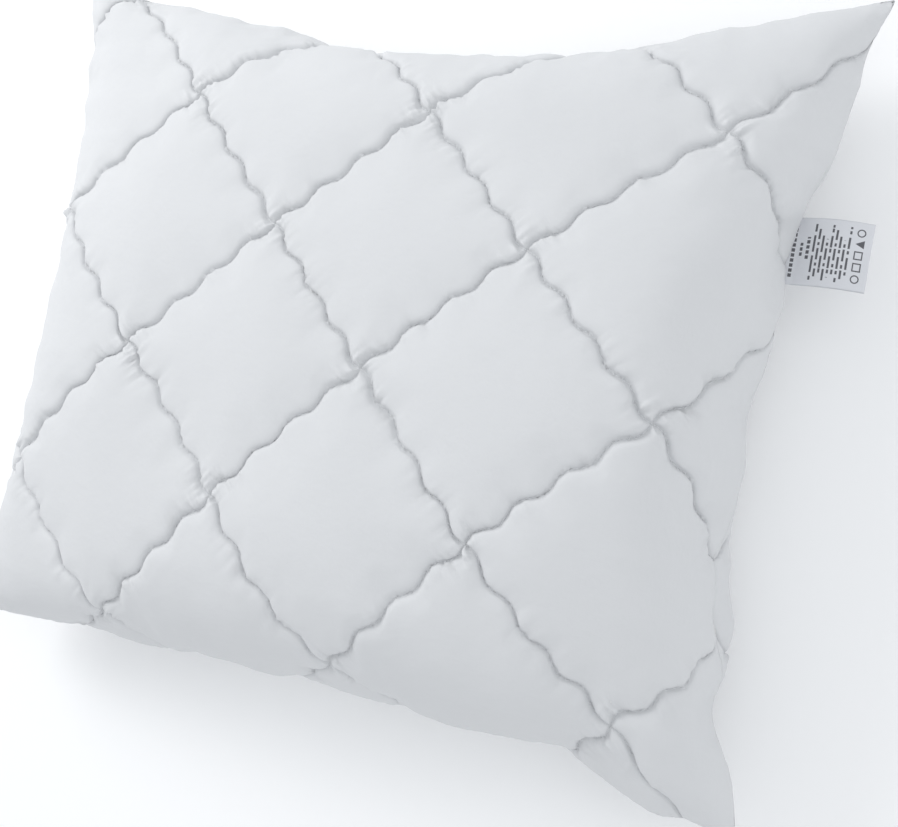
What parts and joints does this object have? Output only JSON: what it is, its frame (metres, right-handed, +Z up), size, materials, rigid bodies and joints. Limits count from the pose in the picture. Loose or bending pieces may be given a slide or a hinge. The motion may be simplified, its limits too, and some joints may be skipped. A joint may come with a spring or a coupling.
{
  "type": "quilted bed pillow",
  "caption": "Rectangular bed pillow, loose-fibre filled, with quilted cover panels in waved diamonds and a folded care label in one edge seam.",
  "frame": {"origin": "middle of the pillow's four corners, on the face it rests on", "axes": "+X to the edge with the care label, +Y to the far edge, +Z up out of the front panel"},
  "size_m": [0.8068, 0.668, 0.2007],
  "materials": {
    "cover_cloth": "smooth fine plain weave, matt with a soft sheen",
    "wadding": "lofted polyester batting",
    "lining": "thin non-woven sheet",
    "filling": "loose crimped polyester fibre",
    "thread": "white polyester sewing thread",
    "label_ribbon": "white satin ribbon with black print"
  },
  "bodies": {
    "pillow": {"front_cover": "cover_cloth", "front_wadding": "wadding", "front_lining": "lining", "front_quilting_thread": "thread", "back_cover": "cover_cloth", "back_wadding": "wadding", "back_lining": "lining", "back_quilting_thread": "thread", "fibre_filling": "filling", "edge_seam_thread": "thread", "overlock_thread": "thread", "closing_stitch": "thread", "label_root": "label_ribbon"},
    "label_flap": {"care_label": "label_ribbon"}
  },
  "joints": [
    {"name": "label_bend", "type": "hinge", "parent": "pillow", "child": "label_flap", "pos_m": [0.3603, 0.129, 0.07], "axis": [0, -1, 0], "range_deg": [-100, 100], "stiffness_Nm_per_rad": 0.006}
  ]
}
